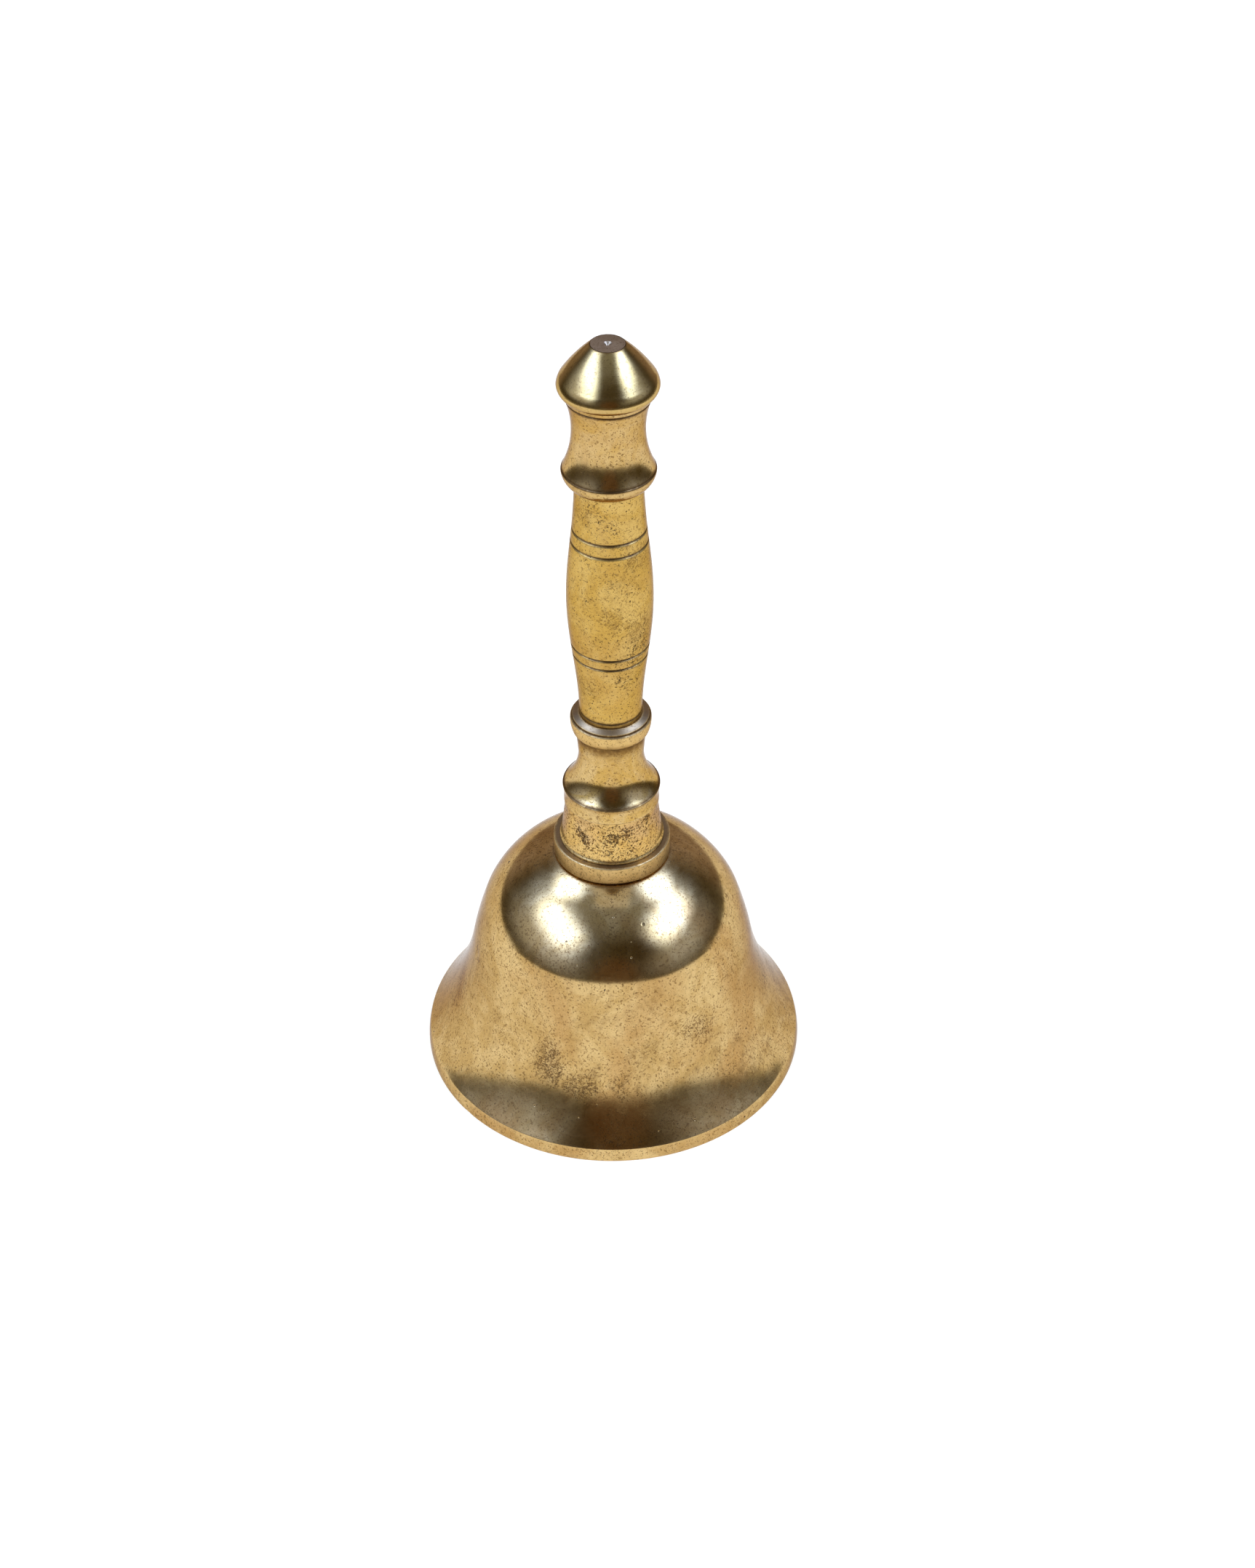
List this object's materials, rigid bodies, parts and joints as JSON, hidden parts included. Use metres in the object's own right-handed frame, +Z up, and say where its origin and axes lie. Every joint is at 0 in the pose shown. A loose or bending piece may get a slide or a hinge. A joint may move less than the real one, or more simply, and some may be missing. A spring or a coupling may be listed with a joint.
{
  "type": "service bell",
  "caption": "Turned brass hand bell with a flared shell, a long turned handle on a tie rod, and a ball clapper that swings on a wire link under the crown.",
  "frame": {"origin": "centre of the rim's plane, on which the bell stands", "axes": "+Z up along the turning axis through the handle; +X is the main direction of the clapper's swing, and the picture looks along +Y"},
  "size_m": [0.07, 0.07, 0.15],
  "materials": {
    "shell_brass": "semi-polished, aged, finely pitted",
    "handle_brass": "semi-polished, turned, speckled",
    "pitted_brass": "dull and heavily pitted",
    "grip_brass": "hand-worn satin",
    "knob_brass": "polished",
    "rod_brass": "unpolished",
    "fastener_steel": "dull",
    "wire_steel": "dull drawn wire",
    "ball_brass": "dull, turned"
  },
  "bodies": {
    "bell": {"bell_shell": "shell_brass", "base_collar": "handle_brass", "ferrule": "pitted_brass", "baluster": "handle_brass", "lower_ring": "handle_brass", "grip_barrel": "grip_brass", "spool": "handle_brass", "finial_knob": "knob_brass", "tie_rod": "rod_brass", "crown_washer": "fastener_steel", "crown_nut": "fastener_steel"},
    "link": {"clapper_link": "wire_steel"},
    "clapper": {"clapper_rod": "wire_steel", "clapper_ball": "ball_brass"}
  },
  "joints": [
    {"name": "clapper_swing", "type": "hinge", "parent": "bell", "child": "link", "pos_m": [0, 0, 0.03335], "axis": [0, 1, 0], "range_deg": [-47, 47]},
    {"name": "clapper_sway", "type": "hinge", "parent": "link", "child": "clapper", "pos_m": [0, 0, 0.0285], "axis": [1, 0, 0], "range_deg": [-12, 12]}
  ]
}
